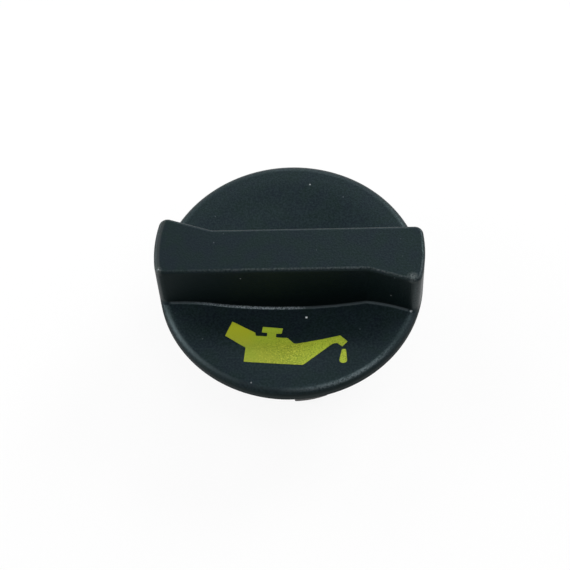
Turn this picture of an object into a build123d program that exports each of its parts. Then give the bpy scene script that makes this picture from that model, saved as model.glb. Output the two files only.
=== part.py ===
"""Oil filler cap with a full-width grip bar and a two-lug bayonet neck, in millimetres.

The cap's axis is +Z and the grip bar runs along X. Z = 0 is the sealing plane, where the
rubber ring meets the filler. A hollow outer moulding is snapped over an inner plug, and the
rubber ring lies under the plug's flange.
"""

import os
from math import asin, degrees, hypot, radians, tan

from build123d import *

# Rim and wall of the outer moulding
CAP_RADIUS = 31.0
RIM_HEIGHT = 3.6
RIM_ROUND = 2.0
RIM_FOOT_ROUND = 0.5
SHELL_WALL = 2.4

# Dished floor of the two finger spaces
DISH_RADIUS = 27.0
DISH_DEPTH = 3.3
DISH_LIP_RADIUS = 30.0

# Grip bar, sized at its flat top; at each end one side flares outwards
GRIP_HEIGHT = 11.4
GRIP_WIDTH = 11.2
GRIP_DRAFT = 7.3
GRIP_EDGE_ROUND = 0.8
GRIP_FOOT_ROUND = 0.6
FLARE_START = 17.8
FLARE_ANGLE = 18.0
FLARE_BLEND = 3.2

# Collar below the rim, with a seat and a snap hook inside it for the plug's flange
COLLAR_RADIUS = 28.4
COLLAR_WALL = 2.2
SEAT_WALL = 3.0
SEAT_WIDTH = 2.6
HOOK_REACH = 0.7
HOOK_HEIGHT = 1.2
HOOK_CLEARANCE = 0.05

# Flange and closed top wall of the plug
FLANGE_HEIGHT = 2.6
FLANGE_CLEARANCE = 0.15
FLANGE_LIP_HEIGHT = 1.4
FLANGE_LIP_WIDTH = 1.1
NEST_CLEARANCE = 0.3
PLUG_WALL = 2.4

# Drive ribs on the plug, which stand in the hollow of the grip bar and carry its torque
DRIVE_LENGTH = 30.0
DRIVE_HEIGHT = 6.0
DRIVE_WALL = 2.0
DRIVE_CLEARANCE = 0.15

# Neck of the plug and its bayonet lugs, one below each finger space
NECK_RADIUS = 18.5
NECK_LENGTH = 15.0
NECK_FOOT_ROUND = 0.6
LUG_RADIUS = 22.3
LUG_WIDTH = 8.0
LUG_HEIGHT = 4.0
LUG_RAMP = 6.0
LUG_TURN = 11.0
LUG_TIP = 1.0
LUG_ROUND = 0.8

# Rubber ring and the spigot that centres it
SEAL_THICKNESS = 3.0
SEAL_WIDTH = 4.3
SEAL_EDGE_ROUND = 0.6
SEAL_CLEARANCE = 0.2
SPIGOT_RADIUS = 20.3
SPIGOT_LENGTH = 2.0

# Levels and radii that follow from the sizes above
flange_top = SEAL_THICKNESS + FLANGE_HEIGHT
rim_top = flange_top + SEAT_WALL
rim_bottom = rim_top - RIM_HEIGHT
grip_top = rim_top + GRIP_HEIGHT
neck_bottom = -NECK_LENGTH
blank_radius = CAP_RADIUS + SHELL_WALL
bar_reach = blank_radius + SHELL_WALL
collar_bore = COLLAR_RADIUS - COLLAR_WALL
seat_bore = collar_bore - SEAT_WIDTH
hook_radius = collar_bore - HOOK_REACH
flange_radius = collar_bore - FLANGE_CLEARANCE
lip_radius = flange_radius - FLANGE_LIP_WIDTH
lip_bottom = flange_top - FLANGE_LIP_HEIGHT
hook_top = lip_bottom - HOOK_CLEARANCE
collar_bottom = hook_top - HOOK_HEIGHT
bore_radius = NECK_RADIUS - PLUG_WALL
spigot_bottom = SEAL_THICKNESS - SPIGOT_LENGTH
nest_drop = SHELL_WALL + NEST_CLEARANCE
ceiling_drop = nest_drop + PLUG_WALL


def box_section(inner, outer, low, high):
    """Half section of a plain ring or disc."""
    return Pos((inner + outer) / 2, (low + high) / 2) * Rectangle(outer - inner, high - low)


def below_dish(drop, radius):
    """Half section of all that lies below the dished floor, lowered by drop, out to a radius."""
    flat = rim_top - drop
    both_arcs = (DISH_RADIUS**2 + DISH_DEPTH**2) / (2 * DISH_DEPTH)
    bowl_radius = both_arcs - DISH_LIP_RADIUS
    turn = degrees(asin(DISH_RADIUS / both_arcs))
    bowl = CenterArc((0, flat - DISH_DEPTH + bowl_radius), bowl_radius, -90, turn)
    lip = CenterArc((DISH_RADIUS, flat - DISH_LIP_RADIUS), DISH_LIP_RADIUS, 90 + turn, -turn)
    sides = Polyline(
        lip @ 1,
        (blank_radius, flat),
        (blank_radius, neck_bottom),
        (0, neck_bottom),
        bowl @ 0,
    )
    return make_face([bowl, lip, sides]) & box_section(0, radius, neck_bottom, flat)


def turned(section):
    """A half section turned about the cap's axis."""
    return revolve(Plane.XZ * section, Axis.Z)


def grip_block(inset, top, bottom):
    """Drafted bar with its two flares, between two levels and inset from the grip's outside."""
    growth = (grip_top - top) * tan(radians(GRIP_DRAFT)) - inset
    half = GRIP_WIDTH / 2 + growth
    kink = FLARE_START - growth * tan(radians(FLARE_ANGLE / 2))
    spread = half + (bar_reach - kink) * tan(radians(FLARE_ANGLE))
    outline = make_face(
        Polyline(
            (-bar_reach, -half),
            (kink, -half),
            (bar_reach, -spread),
            (bar_reach, half),
            (-kink, half),
            (-bar_reach, spread),
            close=True,
        )
    )
    kinks = outline.vertices().filter_by(lambda corner: abs(corner.X) < blank_radius)
    outline = fillet(kinks, FLARE_BLEND - growth)
    return extrude(Pos(0, 0, top) * outline, bottom - top, dir=(0, 0, 1), taper=-GRIP_DRAFT)


def reach_of(edge):
    """How far the middle of an edge lies from the cap's axis."""
    middle = edge @ 0.5
    return hypot(middle.X, middle.Y)


def outer_form():
    """Solid outside of the cap: the dished floor with the grip bar across it, rounded all over."""
    floor = turned(below_dish(0, blank_radius))
    bar = grip_block(0, grip_top, collar_bottom)
    form = floor + bar
    feet = new_edges(floor, bar, combined=form).filter_by(lambda edge: reach_of(edge) < CAP_RADIUS)
    form = fillet(feet, GRIP_FOOT_ROUND)

    cylinder = turned(box_section(0, CAP_RADIUS, neck_bottom, grip_top))
    clipped = form & cylinder
    rim_and_corners = new_edges(form, cylinder, combined=clipped).filter_by(
        lambda edge: rim_bottom < (edge @ 0.5).Z < grip_top - GRIP_EDGE_ROUND
    )
    rounded = fillet(rim_and_corners, RIM_ROUND)
    return fillet(rounded.faces().sort_by(Axis.Z)[-1].edges(), GRIP_EDGE_ROUND)


def grip_cap():
    """Outer moulding: the outer form, hollowed from below, with its collar, seat and snap hook."""
    seat = box_section(seat_bore, blank_radius, flange_top, rim_top)
    hook = make_face(
        Polyline(
            (collar_bore, hook_top),
            (hook_radius, hook_top),
            (hook_radius, hook_top - HOOK_REACH),
            (collar_bore, collar_bottom),
            close=True,
        )
    )
    hollow = below_dish(SHELL_WALL, collar_bore) - seat - hook
    around = box_section(COLLAR_RADIUS, blank_radius, neck_bottom, rim_bottom)
    beneath = box_section(collar_bore, blank_radius, neck_bottom, collar_bottom)
    core_top = grip_top - SHELL_WALL
    core = grip_block(SHELL_WALL, core_top, 0)
    core &= turned(box_section(0, hook_radius, 0, core_top))
    shell = outer_form() - turned(hollow + around + beneath) - core
    level_faces = shell.faces().filter_by(Plane.XY)
    rim_underside = level_faces.sort_by(lambda face: face.outer_wire().length)[-1]
    return fillet(rim_underside.outer_wire().edges(), RIM_FOOT_ROUND)


def bayonet_plug():
    """Inner moulding: nested top wall, flange, spigot, hollow neck, lugs and drive ribs."""
    seat = box_section(seat_bore - NEST_CLEARANCE, blank_radius, flange_top, rim_top)
    under_lip = box_section(lip_radius, blank_radius, neck_bottom, lip_bottom)
    under_flange = box_section(SPIGOT_RADIUS, blank_radius, neck_bottom, SEAL_THICKNESS)
    under_spigot = box_section(NECK_RADIUS, blank_radius, neck_bottom, spigot_bottom)
    blank = below_dish(nest_drop, flange_radius) - seat - under_lip - under_flange - under_spigot
    lug = bayonet_lug()
    plug = turned(blank) + drive_ribs() + lug + Rot(0, 0, 180) * lug
    plug -= turned(below_dish(ceiling_drop, bore_radius))
    return fillet(plug.edges().group_by(Axis.Z)[0], NECK_FOOT_ROUND)


def drive_ribs():
    """Two ribs along the grip bar, one inside each of its long walls."""
    top = rim_top + DRIVE_HEIGHT
    bottom = rim_top - DISH_DEPTH - nest_drop - PLUG_WALL / 2
    inset = SHELL_WALL + DRIVE_CLEARANCE
    ribs = grip_block(inset, top, bottom) - grip_block(inset + DRIVE_WALL, top, bottom)
    return ribs & Pos(0, 0, (top + bottom) / 2) * Box(DRIVE_LENGTH, 2 * CAP_RADIUS, top - bottom)


def bayonet_lug():
    """One lug, whose upper face is a ramp that pulls the cap down as it turns."""
    half = LUG_WIDTH / 2
    low = neck_bottom + LUG_TIP
    high = low + LUG_HEIGHT
    side = make_face(
        Polyline(
            (-half, low),
            (half, low),
            (half, high - LUG_WIDTH * tan(radians(LUG_RAMP))),
            (-half, high),
            close=True,
        )
    )
    root = NECK_RADIUS - PLUG_WALL / 2
    lug = extrude(Plane.XZ.offset(root) * side, LUG_RADIUS)
    lug &= turned(box_section(0, LUG_RADIUS, low, high))
    tip = lug.faces().sort_by(Axis.Y)[0]
    return Rot(0, 0, LUG_TURN) * fillet(tip.edges(), LUG_ROUND)


def seal_ring():
    """Flat rubber ring with rounded edges, centred by the plug's spigot."""
    inner = SPIGOT_RADIUS + SEAL_CLEARANCE
    section = box_section(inner, inner + SEAL_WIDTH, 0, SEAL_THICKNESS)
    return turned(fillet(section.vertices(), SEAL_EDGE_ROUND))


os.makedirs("parts", exist_ok=True)
for piece in (grip_cap, bayonet_plug, seal_ring):
    export_step(piece(), f"parts/{piece.__name__}.step")
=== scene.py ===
# %% [markdown]
# # An oil filler cap, dressed for its portrait
# The object is a round black cap that closes the oil filler of a car's engine. A hollow moulding
# with a grip bar is snapped over an inner plug, and a rubber ring under the plug's flange does the
# sealing. The solids come from CAD and already have their true shape, so they are not modelled
# again here. What is left for Blender is what CAD leaves out: the satin plastic, the rubber, the
# printed sign, the light and the camera.

# %% Load the solids
import math

import bmesh
import bpy
from mathutils import Matrix, Vector
from mathutils.bvhtree import BVHTree


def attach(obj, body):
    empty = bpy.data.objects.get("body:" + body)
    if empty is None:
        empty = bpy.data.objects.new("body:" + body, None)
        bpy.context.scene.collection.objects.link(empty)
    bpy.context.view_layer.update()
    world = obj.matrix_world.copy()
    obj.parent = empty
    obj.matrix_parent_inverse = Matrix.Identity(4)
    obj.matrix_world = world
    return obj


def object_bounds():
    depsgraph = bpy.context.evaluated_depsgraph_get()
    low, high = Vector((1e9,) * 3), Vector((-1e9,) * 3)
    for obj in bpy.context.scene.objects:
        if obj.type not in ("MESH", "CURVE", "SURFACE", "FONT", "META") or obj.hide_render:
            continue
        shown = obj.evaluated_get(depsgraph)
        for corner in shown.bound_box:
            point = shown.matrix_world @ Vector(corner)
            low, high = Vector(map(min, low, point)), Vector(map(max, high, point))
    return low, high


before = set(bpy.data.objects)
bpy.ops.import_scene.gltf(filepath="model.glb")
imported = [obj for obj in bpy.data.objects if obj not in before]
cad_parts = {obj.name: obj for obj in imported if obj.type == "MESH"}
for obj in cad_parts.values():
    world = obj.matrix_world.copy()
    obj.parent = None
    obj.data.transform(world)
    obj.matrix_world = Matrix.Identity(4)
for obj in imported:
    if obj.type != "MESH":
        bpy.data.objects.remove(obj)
cad_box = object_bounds()
grip_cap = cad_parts["grip_cap"]
bayonet_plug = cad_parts["bayonet_plug"]
seal_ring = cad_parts["seal_ring"]
print("solids:", [node.name for node in (grip_cap, bayonet_plug, seal_ring)])

# %% [markdown]
# ## Working in millimetres
# Every object in the frame is in metres, but a cap is thought of in millimetres. So what belongs to
# the cap is given in millimetres below, and one factor turns it into metres where Blender needs
# that. Only the table and the lamps are given in metres. The two levels that the painted highlight
# on the edge, the print and the table need are read from the box of the solids, so that they follow
# the part if it is changed.

# %% Levels of the cap
MM = 0.001
foot_level = cad_box[0].z / MM
grip_level = cad_box[1].z / MM


def in_mm(box):
    """The corners of a box in millimetres, for printing."""
    return [[round(value / MM, 2) for value in corner] for corner in box]


print("CAD box in mm:", in_mm(cad_box))

# %% [markdown]
# ## A short hand for shader nodes
# A finish is a small network of nodes. Each node could be made, set and linked line by line, which
# takes three lines for every idea. These helpers add a node, set its options, and either set or
# link its sockets, so that a finish reads from its pattern to its shader. Every pattern lies on the
# object's own coordinates, which keeps it in its place on the part in any view. They are turned
# into millimetres once, where a finish starts.


# %% Start the finish of the moulding
def fill(tree, node, sockets):
    """Set sockets of a node, or link them where the value is another node's output."""
    for name, value in sockets.items():
        if isinstance(value, bpy.types.NodeSocket):
            tree.links.new(value, node.inputs[name])
        else:
            node.inputs[name].default_value = value


def put(tree, kind, sockets, **options):
    """Add one node, set its options and fill its sockets."""
    made = tree.nodes.new(kind)
    for option, value in options.items():
        setattr(made, option, value)
    fill(tree, made, sockets)
    return made


def new_finish(name):
    """A material: itself, its tree, its Principled shader and the place on the object in mm."""
    material = bpy.data.materials.new(name)
    material.use_nodes = True
    tree = material.node_tree
    metres = put(tree, "ShaderNodeTexCoord", {}).outputs["Object"]
    scaled = put(tree, "ShaderNodeVectorMath", {0: metres, "Scale": 1 / MM}, operation="SCALE")
    return material, tree, tree.nodes["Principled BSDF"], scaled.outputs["Vector"]


cap_plastic, tree, shader, place = new_finish("cap_plastic")
print("started", cap_plastic.name)

# %% [markdown]
# ## Two close blacks
# The outer moulding is a satin plastic, nearly black, with a cold green-blue cast. A flat colour
# would look like paint, so two close blacks drift into each other over a few millimetres. A noise
# through a colour ramp gives that with two nodes, and needs no painted picture.


# %% Drifting blacks
GREEN_BLACK = (0.0033, 0.0090, 0.0084)
BLUE_BLACK = (0.0037, 0.0066, 0.0113)
DRIFT_PER_MM = 0.24


def noise(tree, place, per_mm, detail, roughness=0.5):
    """A soft random pattern with about so many lumps to the millimetre."""
    sockets = {"Vector": place, "Scale": per_mm, "Detail": detail, "Roughness": roughness}
    return put(tree, "ShaderNodeTexNoise", sockets).outputs["Fac"]


def ramp(tree, factor, low, high, low_colour=(0, 0, 0), high_colour=(1, 1, 1)):
    """A colour ramp of two stops over a factor."""
    made = put(tree, "ShaderNodeValToRGB", {"Fac": factor})
    first, last = made.color_ramp.elements
    first.position, last.position = low, high
    first.color, last.color = (*low_colour, 1), (*high_colour, 1)
    return made.outputs["Color"]


drift = noise(tree, place, DRIFT_PER_MM, detail=2.0)
black = ramp(tree, drift, 0.38, 0.62, GREEN_BLACK, BLUE_BLACK)
print("blacks drift over", round(1 / DRIFT_PER_MM, 1), "mm")

# %% [markdown]
# ## Mottle of the grain
# The moulding's tool was spark-eroded, which leaves a fine pebbled grain. A mottle of half a
# millimetre lightens the blacks, as grain does that is too fine to be seen as relief. Steep walls
# get no mottle and a darker black, which is painted shade on them, so the steepness of the surface
# turns the mottle off there. On the top of the bar the mottle thins out, most at its left end. Such
# wishes are written as slopes, which turn a place in millimetres, or the lean of the surface, into
# a mask from 0 to 1. The rise is 1 on a level face and 0 on a wall.


# %% Mottle
MOTTLE_PER_MM = 2.1
WALL_SHADE_BLACK = (0.0026, 0.0060, 0.0064, 1)
GRAIN_GREY = (0.0106, 0.0183, 0.0217, 1)


def slope(tree, value, start, end, first=0.0, last=1.0):
    """A number that goes from first to last while a value goes from start to end."""
    sockets = {"Value": value, "From Min": start, "From Max": end, "To Min": first, "To Max": last}
    return put(tree, "ShaderNodeMapRange", sockets).outputs["Result"]


def join(tree, operation, masks):
    """Several masks worked into one, each with the result so far."""
    result = masks[0]
    for mask in masks[1:]:
        sockets = {0: result, 1: mask}
        result = put(tree, "ShaderNodeMath", sockets, operation=operation).outputs["Value"]
    return result


def times(tree, *masks):
    """The product of several masks."""
    return join(tree, "MULTIPLY", masks)


def cover(tree, mask, under, over):
    """One colour laid over another where a mask is white."""
    sockets = {"Factor": mask, 6: under, 7: over}
    return put(tree, "ShaderNodeMix", sockets, data_type="RGBA").outputs[2]


aside, depth, height = put(tree, "ShaderNodeSeparateXYZ", {"Vector": place}).outputs
facing = put(tree, "ShaderNodeNewGeometry", {}).outputs["Normal"]
lean = put(tree, "ShaderNodeSeparateXYZ", {"Vector": facing}).outputs
towards, rise = lean["Y"], lean["Z"]
# Steep walls: their darker black is painted shade.
walls = slope(tree, rise, 0.60, 0.30)
# The mottle thins out on the bar's top, most towards its left end, which makes it darker there.
left_top_thinning = times(tree, slope(tree, height, 12, 18), slope(tree, aside, 10, -28, 0.3, 1.0))
mottle = noise(tree, place, MOTTLE_PER_MM, detail=2.0)
grained = times(
    tree,
    slope(tree, mottle, 0.38, 0.66),
    slope(tree, rise, 0.30, 0.60),
    slope(tree, left_top_thinning, 0.0, 1.0, 1.0, 0.45),
)
mottled = cover(tree, grained, cover(tree, walls, black, WALL_SHADE_BLACK), GRAIN_GREY)
print("mottle of", round(1 / MOTTLE_PER_MM, 2), "mm in", cap_plastic.name)

# %% [markdown]
# ## Painted highlight on the near edge
# The near edge of the grip bar is painted paler: a painted highlight on the round along it.
# Painting that edge by hand would need a texture. The round along the edge is the only surface near
# the top that leans, so the surface's own normal finds it, the depth keeps the front one, and a
# coarse grain breaks the line up into small flecks. Two corners get a soft ball of the same painted
# highlight around them, as painted glints.


# %% Edge and corners
SHEEN_GRAIN_PER_MM = 2.3
# Grey of the painted highlight on the near edge and of the painted glints at its corners.
EDGE_HIGHLIGHT_GREY = (0.095, 0.108, 0.110, 1)
CORNER_GLINTS = [((27.9, -8.0, 19.8), 1.6), ((-29.6, -4.8, 19.7), 0.9)]
GLINT_CORE = 0.3
EDGE_PALENESS = 0.46


def larger(tree, *masks):
    """The largest of several masks."""
    return join(tree, "MAXIMUM", masks)


def band(tree, value, start, full, last, end):
    """A mask that rises from start to full and falls again from last to end."""
    return times(tree, slope(tree, value, start, full), slope(tree, value, end, last))


def distance(tree, place, centre=(0, 0, 0)):
    """How far a place lies from a centre."""
    sockets = {0: place, 1: centre}
    return put(tree, "ShaderNodeVectorMath", sockets, operation="DISTANCE").outputs["Value"]


def ball(tree, place, centre, reach, core, paleness=1.0):
    """A soft ball, black from its reach outwards and pale within a core, a share of that."""
    return slope(tree, distance(tree, place, centre), reach, core * reach, 0.0, paleness)


# Painted highlight on the near edge's round, and painted glints at two corners, broken up by grain.
edge = times(
    tree,
    band(tree, rise, 0.58, 0.78, 0.985, 0.9995),
    slope(tree, height, grip_level - 1.0, grip_level - 0.8),
    slope(tree, depth, -3.0, -4.0, 0.0, EDGE_PALENESS),
    slope(tree, aside, -26.0, -6.0, 0.35, 1.0),
)
glints = [ball(tree, place, centre, reach, GLINT_CORE) for centre, reach in CORNER_GLINTS]
sheen_grain = noise(tree, place, SHEEN_GRAIN_PER_MM, detail=1.0)
highlighted = times(tree, larger(tree, edge, *glints), slope(tree, sheen_grain, 0.26, 0.72))
with_edge_highlight = cover(tree, highlighted, mottled, EDGE_HIGHLIGHT_GREY)
print("rubbed edge and", len(CORNER_GLINTS), "corners")

# %% [markdown]
# ## Painted sheen on the rim
# A pale sheen is painted on the rim's round as a painted highlight, most at the front right and
# less at the front left. A painted reflection lies the same way on the left end of the bar, and a
# painted highlight on its right front corner. Distance from the cap's axis picks out the band on
# each round, and the place along it sets how pale it is. Only the front right is grainy.

# %% Rim, end and corner
# Greys of the painted highlights on the rim and the right corner, and of the painted reflection on
# the left end.
COLD_GREY = (0.142, 0.178, 0.192, 1)
PLAIN_GREY = (0.160, 0.160, 0.152, 1)
SMOOTH_SHARE = (0.75, 0.75, 0.75, 1)
RIM_LEFT_PALENESS, LEFT_END_PALENESS, CORNER_PALENESS = 0.32, 0.20, 0.16
plan = put(tree, "ShaderNodeCombineXYZ", {"X": aside, "Y": depth}).outputs["Vector"]
radius = distance(tree, plan)
right = times(tree, slope(tree, aside, -3, 14, 0.1, 1.0), slope(tree, aside, 25, 17))
left = times(
    tree,
    slope(tree, aside, -10, -25, 0.10, RIM_LEFT_PALENESS),
    slope(tree, aside, -30.0, -28.8),
)
rim = times(
    tree,
    band(tree, radius, 29.45, 29.95, 30.25, 30.60),
    band(tree, height, 6.8, 7.4, 8.7, 9.3),
    slope(tree, depth, -8, -12),
    larger(tree, right, left),
)
left_end = times(
    tree,
    band(tree, radius, 29.5, 29.9, 30.6, 31.0),
    slope(tree, height, 18.4, 19.2),
    slope(tree, aside, -20, -24, 0.0, LEFT_END_PALENESS),
)
right_corner = times(
    tree,
    slope(tree, radius, 29.5, 29.9),
    band(tree, height, 9.2, 10.0, 18.0, 19.0),
    slope(tree, aside, 24, 26, 0.0, CORNER_PALENESS),
    slope(tree, depth, -5, -7),
)
grainy_right = slope(tree, aside, -8, 8)
broken = cover(tree, grainy_right, SMOOTH_SHARE, slope(tree, sheen_grain, 0.22, 0.68))
# The painted highlights and the painted reflection are laid over the plastic here.
with_sheen = with_edge_highlight
for rub, grey in ((rim, COLD_GREY), (left_end, PLAIN_GREY), (right_corner, COLD_GREY)):
    with_sheen = cover(tree, times(tree, rub, broken), with_sheen, grey)
print("rubbed rim, end and corner")

# %% [markdown]
# ## Painted highlight at the foot of the bar
# In the round between the front wall and the dished floor a grainy, pale line is painted: a painted
# highlight along that round, fullest left of the middle. That round is found as the edge was, by
# the lean of its surface and by its height, and a fine noise makes the line grainy. A thinner share
# of the same painted highlight runs along all of it.

# %% Foot highlight line
FOOT_GRAIN_PER_MM = 2.7
DUST_AND_HIGHLIGHT_GREY = (0.305, 0.355, 0.39, 1)
THINNEST_FOOT_HIGHLIGHT = 0.13
# The round at the foot of the front wall, where the painted highlight goes.
foot_round = times(
    tree,
    band(tree, rise, 0.20, 0.40, 0.90, 0.97),
    slope(tree, towards, -0.05, -0.20),
    slope(tree, height, 9.8, 9.3),
    slope(tree, radius, 29.2, 28.6),
)
grains = noise(tree, place, FOOT_GRAIN_PER_MM, detail=1.0)
fuller_highlight = times(
    tree,
    slope(tree, aside, -24, -10, 0.10, 1.0),
    slope(tree, aside, 5, 0),
    slope(tree, grains, 0.30, 0.64),
)
foot_highlight = times(tree, foot_round, larger(tree, fuller_highlight, THINNEST_FOOT_HIGHLIGHT))
print("dust line, at least", THINNEST_FOOT_HIGHLIGHT, "full")

# %% [markdown]
# ## Specks and crumbs
# Faint specks lie all over the cap. Each could be a tiny mesh, but a cell pattern gives them with
# no geometry: most cells stay empty, and a few show a dot at their centre. A few brighter crumbs
# have places of their own, so each is a soft ball around its place, with a reach and a paleness.

# %% Specks and crumbs
SPECKS_PER_MM = 0.42
SPECK_PALENESS = 0.15
CRUMB_WHITE = (0.85, 0.92, 0.96, 1)
CRUMB_CORE = 0.5
CRUMBS = [
    ((3.55, -10.2, 5.9), 0.36, 0.85),
    ((23.1, -8.3, 12.4), 0.24, 0.185),
    ((-11.2, -5.9, 17.2), 0.22, 0.23),
    ((-29.7, -4.7, 19.8), 0.26, 0.48),
    ((27.7, -10.4, 8.6), 0.38, 0.34),
    ((4.7, 25.0, 8.55), 0.24, 0.30),
    ((-9.0, -28.1, 8.55), 0.24, 0.166),
]
cells = put(tree, "ShaderNodeTexVoronoi", {"Vector": place, "Scale": SPECKS_PER_MM}).outputs
dots = slope(tree, cells["Distance"], 0.085, 0.05, 0.0, SPECK_PALENESS)
specks = times(tree, dots, ramp(tree, cells["Color"], 0.70, 0.72))
# Dust specks and the painted highlight of the foot line share one grey.
dust_and_highlights = cover(tree, larger(tree, foot_highlight, specks), with_sheen, DUST_AND_HIGHLIGHT_GREY)
for centre, reach, paleness in CRUMBS:
    crumb = ball(tree, place, centre, reach, CRUMB_CORE, paleness)
    dust_and_highlights = cover(tree, crumb, dust_and_highlights, CRUMB_WHITE)
print("specks and", len(CRUMBS), "crumbs")

# %% [markdown]
# ## Gloss
# The satin comes from a middling roughness. One value all over would look sprayed on, so it follows
# the mottle. The skirt below the rim was dragged along the tool, which left it dull, and so was the
# front wall of the bar, most at its left end. Both get a higher roughness.

# %% Gloss
SATIN_ROUGHNESS, DRAGGED_ROUGHNESS = (0.47, 0.38), 0.70
skirt = times(tree, slope(tree, radius, 30.3, 30.8), slope(tree, height, 8.2, 7.6))
front_wall = times(
    tree,
    slope(tree, towards, -0.86, -0.94),
    slope(tree, height, 9, 10),
    slope(tree, aside, 10, -27),
)
dragged = larger(tree, skirt, front_wall)
satin = slope(tree, mottle, 0.3, 0.7, *SATIN_ROUGHNESS)
sockets = {"Factor": dragged, 2: satin, 3: DRAGGED_ROUGHNESS}
rough = put(tree, "ShaderNodeMix", sockets, data_type="FLOAT").outputs[0]
print("roughness from", min(SATIN_ROUGHNESS), "to", DRAGGED_ROUGHNESS)

# %% [markdown]
# ## Relief of the grain
# The pebbles of the grain stand a few hundredths of a millimetre high, which is too small to model,
# so they go into the bump: pebbles of four tenths of a millimetre, and a finer tooth on top of
# them. With the bump the finish is whole, and the moulding gets it. The sheen has a cold tint.


# %% Bump and finished moulding
PEBBLES_PER_MM, TOOTH_PER_MM = 2.5, 6.2
COLD_SHEEN = (0.66, 0.96, 1.0, 1)


def bump(tree, pattern, strength, relief, **below):
    """A bump with a relief in millimetres, on top of another one where that is given."""
    sockets = {"Height": pattern, "Strength": strength, "Distance": relief * MM, **below}
    return put(tree, "ShaderNodeBump", sockets).outputs["Normal"]


def wear_finish(node, material):
    """Give a CAD node its finish in place of the plain one that it came with."""
    node.data.materials.clear()
    node.data.materials.append(material)
    print(node.name, "wears", material.name)


pebbles = put(tree, "ShaderNodeTexVoronoi", {"Vector": place, "Scale": PEBBLES_PER_MM}).outputs
coarse = bump(tree, pebbles["Distance"], strength=0.4, relief=0.05)
tooth = noise(tree, place, TOOTH_PER_MM, detail=2.0)
fill(tree, shader, {
    "Base Color": dust_and_highlights,
    "Roughness": rough,
    "Specular IOR Level": 0.21,
    "Specular Tint": COLD_SHEEN,
    "Normal": bump(tree, tooth, strength=0.25, relief=0.03, Normal=coarse),
})
wear_finish(grip_cap, cap_plastic)

# %% [markdown]
# ## Glass-filled plastic of the plug
# The plug works in hot oil, so it is moulded from a nylon filled with short glass fibres. It is a
# plain black without grain, and the fibres leave faint streaks along the flow, which runs down the
# neck. A noise that is stretched along the axis gives those streaks, and a slow one fades them in
# and out.

# %% Plug finish
PLUG_BLACK, FIBRE_GREY = (0.0070, 0.0078, 0.0085), (0.0170, 0.0185, 0.0190)
STREAKS_PER_MM, CLOUDS_PER_MM = 1.5, 0.12
ALONG_THE_NECK = (1.0, 1.0, 0.18)
plug_plastic, tree, shader, place = new_finish("plug_plastic")
flow = put(tree, "ShaderNodeMapping", {"Vector": place, "Scale": ALONG_THE_NECK}).outputs["Vector"]
streaks = noise(tree, flow, STREAKS_PER_MM, detail=4.0, roughness=0.6)
clouds = noise(tree, place, CLOUDS_PER_MM, detail=2.0)
fill(tree, shader, {
    "Base Color": ramp(tree, times(tree, streaks, clouds), 0.15, 0.40, PLUG_BLACK, FIBRE_GREY),
    "Roughness": slope(tree, streaks, 0.3, 0.7, 0.34, 0.50),
    "Specular IOR Level": 0.42,
    "Normal": bump(tree, streaks, strength=0.22, relief=0.03),
})
wear_finish(bayonet_plug, plug_plastic)

# %% [markdown]
# ## Rubber of the sealing ring
# The ring is moulded rubber, the mattest surface of the three. Rubber shows no clear highlight, a
# faint grey bloom, and a fine tooth from its mould. A high roughness with a little sheen gives the
# soft, dusty edge that plain roughness lacks.

# %% Ring finish
RUBBER_BLACK, BLOOM_GREY = (0.0060, 0.0062, 0.0065), (0.0200, 0.0205, 0.0210)
BLOOM_PER_MM, RUBBER_TOOTH_PER_MM = 0.26, 4.8
seal_rubber, tree, shader, place = new_finish("seal_rubber")
bloom = noise(tree, place, BLOOM_PER_MM, detail=4.0, roughness=0.65)
tooth = noise(tree, place, RUBBER_TOOTH_PER_MM, detail=2.0)
fill(tree, shader, {
    "Base Color": ramp(tree, bloom, 0.35, 0.75, RUBBER_BLACK, BLOOM_GREY),
    "Roughness": slope(tree, bloom, 0.3, 0.7, 0.66, 0.82),
    "Specular IOR Level": 0.35,
    "Sheen Weight": 0.05,
    "Normal": bump(tree, tooth, strength=0.3, relief=0.04),
})
wear_finish(seal_ring, seal_rubber)

# %% [markdown]
# ## The printed oil can
# The front finger space carries the usual oil can sign, printed in yellow-green. An image texture
# could show it, but a thin film of ink as its own mesh stays crisp at any size and needs no
# picture. Its outline is drawn flat in millimetres, with the corner of the can's base at zero. The
# spout, the handle and the small lid are what make it read as an oil can. A small bevel takes the
# points off its corners, as a printing pad does.


# %% Outline of the can
CAN_OUTLINE = [
    (0.1, 0.0), (13.55, 0.0), (14.15, 0.45), (19.0, 5.15), (20.0, 6.05), (21.0, 6.3),
    (22.25, 5.3), (23.4, 6.7), (21.6, 8.4), (11.6, 5.9), (11.1, 6.0), (9.5, 7.5),
    (6.8, 7.5), (6.8, 8.55), (8.05, 8.65), (8.25, 10.2), (3.6, 10.25), (3.45, 8.65),
    (4.75, 8.65), (4.75, 7.6), (2.2, 7.5), (2.0, 8.4), (-3.5, 10.9), (-4.75, 6.65),
    (0.2, 3.85),
]
CAN_ROUND = 0.12


def round_corners(shape, corners, softness, segments):
    """Round corners of a flat face."""
    bmesh.ops.bevel(
        shape, geom=corners, offset=softness, offset_type="OFFSET", segments=segments, profile=0.5,
        affect="VERTICES", material=-1, clamp_overlap=True,
    )


sign = bmesh.new()
sign.faces.new([sign.verts.new((x, y, 0)) for x, y in CAN_OUTLINE])
round_corners(sign, sign.verts[:], CAN_ROUND, segments=2)
print("can outline with", len(sign.verts), "points")

# %% [markdown]
# ## The drop at the spout
# The drop has straight sides, a round foot and a blunt tip. A circle pulled up at one side would
# bulge like an egg, so it starts as four corners, and a bevel rounds the wide end more than the
# narrow one.

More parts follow.
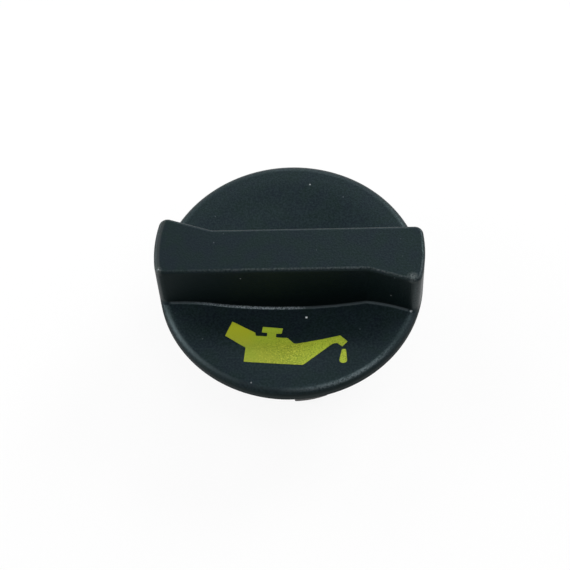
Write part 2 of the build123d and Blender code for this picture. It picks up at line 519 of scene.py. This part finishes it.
# %% Drop
DROP_FOOT = Vector((22.68, 0.95, 0))
DROP_HEIGHT = 3.65
FOOT_HALF, TIP_HALF = 0.98, 0.46
FOOT_ROUND, TIP_ROUND = 0.86, 0.34
foot = [sign.verts.new(DROP_FOOT + Vector((x, 0, 0))) for x in (-FOOT_HALF, FOOT_HALF)]
tip = [sign.verts.new(DROP_FOOT + Vector((x, DROP_HEIGHT, 0))) for x in (TIP_HALF, -TIP_HALF)]
sign.faces.new(foot + tip)
round_corners(sign, foot, FOOT_ROUND, segments=6)
round_corners(sign, tip, TIP_ROUND, segments=6)
print("drop", 2 * FOOT_HALF, "mm wide and", DROP_HEIGHT, "mm high")

# %% [markdown]
# ## Tiles that can bend
# The floor under the sign is a shallow bowl, so a flat sign would cut into it at its ends. The sign
# is sliced both ways into small tiles, so that it has points to bend at. A subdivision could add
# points too, but it would leave long thin triangles, because the outline is a single face. The sign
# is then turned and carried to its place on the cap.

# %% Slice and place
TILE = 0.9
CUT_TOLERANCE = 1e-5
SIGN_PLACE = Vector((-10.87, -22.76, 0))
SIGN_TURN = math.radians(-4.26)
for axis, across in enumerate((Vector((1, 0, 0)), Vector((0, 1, 0)))):
    reach = [vertex.co[axis] for vertex in sign.verts]
    for step in range(1, math.ceil((max(reach) - min(reach)) / TILE)):
        bmesh.ops.bisect_plane(
            sign, geom=sign.verts[:] + sign.edges[:] + sign.faces[:], dist=CUT_TOLERANCE,
            plane_co=across * (min(reach) + step * TILE), plane_no=across,
        )
bmesh.ops.triangulate(sign, faces=sign.faces[:])
carried = Matrix.Translation(SIGN_PLACE) @ Matrix.Rotation(SIGN_TURN, 4, "Z")
bmesh.ops.transform(sign, verts=sign.verts[:], matrix=carried)
bmesh.ops.scale(sign, verts=sign.verts[:], vec=(MM, MM, MM))
print("sign in", len(sign.faces), "small faces")

# %% [markdown]
# ## Laying the print on the dished floor
# Each point of the sign is lowered along the axis until it meets the floor. The bowl's formula
# could be written down again for this. A ray cast onto the solid itself finds the height without
# it, and a search tree over the moulding's faces makes the ray quick.

# %% Lower onto the floor
solid = bmesh.new()
solid.from_mesh(grip_cap.data)
moulding = BVHTree.FromBMesh(solid)
solid.free()
DOWN = Vector((0, 0, -1))
for vertex in sign.verts:
    above = Vector((vertex.co.x, vertex.co.y, 2 * grip_level * MM))
    vertex.co.z = moulding.ray_cast(above, DOWN)[0].z
levels = [vertex.co.z / MM for vertex in sign.verts]
print("sign lies between", round(min(levels), 2), "and", round(max(levels), 2), "mm")

# %% [markdown]
# ## Thickness of the ink
# Printed ink stands a few hundredths of a millimetre proud and has a rim that catches the light.
# The film gets its thickness by extruding all its faces upwards, which leaves a closed, thin
# tablet. It becomes an object at the origin, as the solids are, and rides on the cap's one body.


# %% Thicken the sign
INK_THICKNESS = 0.05


def in_scene(name, data):
    """A new object in the scene, for a mesh, a lamp or a camera."""
    made = bpy.data.objects.new(name, data)
    bpy.context.scene.collection.objects.link(made)
    return made


def from_bmesh(name, shape):
    """An object whose mesh is a finished bmesh."""
    mesh = bpy.data.meshes.new(name)
    shape.to_mesh(mesh)
    shape.free()
    return in_scene(name, mesh)


lifted = bmesh.ops.extrude_face_region(sign, geom=sign.faces[:], use_keep_orig=True)["geom"]
top = [part for part in lifted if isinstance(part, bmesh.types.BMVert)]
bmesh.ops.translate(sign, verts=top, vec=(0, 0, INK_THICKNESS * MM))
bmesh.ops.recalc_face_normals(sign, faces=sign.faces[:])
oil_can = from_bmesh("oil_can_symbol", sign)
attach(oil_can, "root")
print("oil can sign with", len(oil_can.data.polygons), "faces")

# %% [markdown]
# ## Yellow-green ink
# The ink is pad printed over the grain. Along the upper part of the sign, nearest the bar, and a
# little at the spout, it is smooth and painted lighter: its own yellow at the handle and green at
# the lid, lifted by painted light that offsets the bar's shadow. Towards the base and to the right
# it is thin, and the pebbles break it into pale and dark dots. Two greens drift across the sign
# under this, and one grain gives the dots: its highs are the pale ones and its lows the dark ones.

# %% Ink finish
FIRST_GREEN, SECOND_GREEN = (0.226, 0.284, 0.014), (0.246, 0.282, 0.015)
HANDLE_YELLOW, LID_GREEN = (0.440, 0.480, 0.018, 1), (0.365, 0.490, 0.030, 1)
PALE_DOT, DARK_DOT = (0.395, 0.428, 0.042, 1), (0.120, 0.170, 0.010, 1)
FILM_PER_MM, DOTS_PER_MM = 0.19, 3.0
sign_ink, tree, shader, place = new_finish("sign_ink")
sides = put(tree, "ShaderNodeSeparateXYZ", {"Vector": place}).outputs
aside, depth = sides["X"], sides["Y"]
film = noise(tree, place, FILM_PER_MM, detail=3.0)
green = ramp(tree, film, 0.36, 0.64, FIRST_GREEN, SECOND_GREEN)
# Lighter ink near the bar and at the spout is painted light that offsets the bar's shadow.
upper = slope(tree, depth, -18.5, -13.5)
spout = slope(tree, aside, 0, 6, 0.0, 0.38)
lightened_ink = cover(tree, slope(tree, aside, -10, -7), HANDLE_YELLOW, LID_GREEN)
ink_with_painted_light = cover(tree, larger(tree, upper, spout), green, lightened_ink)
thin = times(
    tree,
    slope(tree, aside, -9.5, -3, 0.20, 1.0),
    slope(tree, depth, -15, -19, 0.30, 1.0),
)
grain = noise(tree, place, DOTS_PER_MM, detail=1.0)
pale = times(tree, thin, slope(tree, grain, 0.55, 0.72))
dark = times(tree, thin, slope(tree, grain, 0.45, 0.28))
fill(tree, shader, {
    "Base Color": cover(tree, dark, cover(tree, pale, ink_with_painted_light, PALE_DOT), DARK_DOT),
    "Roughness": slope(tree, grain, 0.3, 0.7, 0.62, 0.50),
    "Specular IOR Level": 0.3,
    "Normal": bump(tree, grain, strength=0.25, relief=0.03),
})
oil_can.data.materials.append(sign_ink)
print(sign_ink.name, "on", oil_can.name)

# %% [markdown]
# ## A table to stand on
# The cap stands on the end of its neck on a plain white table. A floor could be curved up into a
# backdrop, but one flat face is enough, since the room behind it is white too. It lies a hair below
# the neck, so that the two faces don't flicker through each other.

# %% Table
TABLE_HALF = 1.5
TABLE_DROP = 0.02
sheet = bmesh.new()
bmesh.ops.create_grid(sheet, x_segments=1, y_segments=1, size=TABLE_HALF)
table_level = (foot_level - TABLE_DROP) * MM
bmesh.ops.translate(sheet, verts=sheet.verts[:], vec=(0, 0, table_level))
table = from_bmesh("table", sheet)
print("table at", round(table_level / MM, 2), "mm")

# %% [markdown]
# ## White that keeps a shadow
# A table that is white only by its lamps would need more light than the cap should get. So its
# shader gives camera rays most of their white by itself, and the rest of it still takes the cap's
# shadow. Away from the cap the table gives all its white by itself, so that its far edge can't be
# told from the room. Glossy and transmission rays see the same white as the camera. The back of the
# table is clear, so that the cap can also be looked at from below.


# %% Table finish
TABLE_GREY = (0.78, 0.78, 0.78, 1)
OWN_SHARE = 0.91
NEAR, FAR = 80, 320


def seen_directly(tree):
    """One for rays that look at the background: camera, glossy and transmission rays."""
    path = put(tree, "ShaderNodeLightPath", {}).outputs
    return larger(tree, *(path[f"Is {kind} Ray"] for kind in ("Camera", "Glossy", "Transmission")))


def mix_shaders(tree, share, first, second):
    """Two shaders in one, with the share of the second."""
    return put(tree, "ShaderNodeMixShader", {0: share, 1: first, 2: second}).outputs["Shader"]


table_white, tree, shader, place = new_finish("table_white")
fill(tree, shader, {"Base Color": TABLE_GREY, "Roughness": 0.9})
glow = put(tree, "ShaderNodeEmission", {"Color": (1, 1, 1, 1), "Strength": 1.0}).outputs["Emission"]
own = slope(tree, distance(tree, place), NEAR, FAR, OWN_SHARE, 1.0)
white = mix_shaders(tree, times(tree, seen_directly(tree), own), shader.outputs["BSDF"], glow)
from_below = put(tree, "ShaderNodeNewGeometry", {}).outputs["Backfacing"]
clear = put(tree, "ShaderNodeBsdfTransparent", {}).outputs["BSDF"]
one_sided = mix_shaders(tree, from_below, white, clear)
fill(tree, tree.nodes["Material Output"], {"Surface": one_sided})
table.data.materials.append(table_white)
print(table_white.name, "with", OWN_SHARE, "of its white by itself near the cap")

# %% [markdown]
# ## Studio light
# Black plastic shows its lamps more than its colour, so the lamps shape it. One soft box hangs over
# the cap, a little to the front and right, and lights the sign. Three stand behind the cap and draw
# the far edges. A tall one on the left lights the left of the rim, and a weak one stands on the
# right. The front stays without a lamp, which leaves the front wall of the grip nearly black. Each
# lamp has a place and a size in metres, and its power in watts.


# %% Lamps
CAP_MIDDLE = Vector((0, 0, 0.005))
SOFT_BOXES = {
    "lamp_over": ((0.155, -0.155, 0.665), (0.29, 0.46), 1.55),
    "lamp_back_right": ((0.415, 0.415, 0.385), (0.29, 0.29), 3.43),
    "lamp_back": ((0.0, 0.60, 0.35), (0.29, 0.36), 1.20),
    "lamp_back_left": ((-0.415, 0.415, 0.385), (0.29, 0.29), 1.65),
    "lamp_left": ((-0.65, 0.0, 0.26), (0.29, 0.52), 3.20),
    "lamp_right": ((0.50, 0.0, 0.48), (0.29, 0.40), 0.76),
}


def soft_box(name, stand, size, watts):
    """A rectangular lamp on its stand, turned towards the cap."""
    lamp = bpy.data.lights.new(name, "AREA")
    lamp.shape = "RECTANGLE"
    lamp.size, lamp.size_y = size
    lamp.energy = watts
    holder = in_scene(name, lamp)
    holder.location = stand
    holder.rotation_euler = (CAP_MIDDLE - Vector(stand)).to_track_quat("-Z", "Y").to_euler()
    holder.visible_camera = False


for name, (stand, size, watts) in SOFT_BOXES.items():
    soft_box(name, stand, size, watts)
print("lamps:", list(SOFT_BOXES))

# %% [markdown]
# ## The room around
# Beyond the table the camera has to see white, and so do reflections that run level over it. Higher
# up the room is dark, because a bright ceiling would wash out the lamps' shapes in the satin. Light
# that falls on the cap from the room stays weak all round.

# %% World
WHITE, DIM = (1, 1, 1), (0.05, 0.05, 0.05)
world = bpy.data.worlds.new("studio")
world.use_nodes = True
bpy.context.scene.world = world
tree = world.node_tree
direction = put(tree, "ShaderNodeTexCoord", {}).outputs["Generated"]
upwards = put(tree, "ShaderNodeSeparateXYZ", {"Vector": direction}).outputs["Z"]
room = ramp(tree, upwards, 0.08, 0.20, WHITE, DIM)
seen = cover(tree, seen_directly(tree), (*DIM, 1), room)
fill(tree, tree.nodes["Background"], {"Color": seen})
print("room of", DIM[0], "with a white horizon")

# %% [markdown]
# ## Camera
# The photograph looks down on the cap at about sixty degrees from the front, with a long lens. The
# camera is turned a few degrees about its own axis, because the cap leans that way in the picture.
# The plain view transform keeps each colour as its finish gives it.

# %% Camera
EYE = Vector((10.85, -195.17, 342.56)) * MM
AIM = Vector((-1.345, -2.867, 8.577)) * MM
ROLL = math.radians(-4.21)
lens = bpy.data.cameras.new("camera")
lens.lens = 104.46
lens.sensor_width = 36.0
lens.clip_start = 0.01
camera = in_scene("camera", lens)
looking = (AIM - EYE).to_track_quat("-Z", "Y").to_matrix().to_4x4()
camera.matrix_world = Matrix.Translation(EYE) @ looking @ Matrix.Rotation(ROLL, 4, "Z")
bpy.context.scene.camera = camera
bpy.context.scene.view_settings.view_transform = "Standard"
print("camera", round((AIM - EYE).length, 3), "m away")
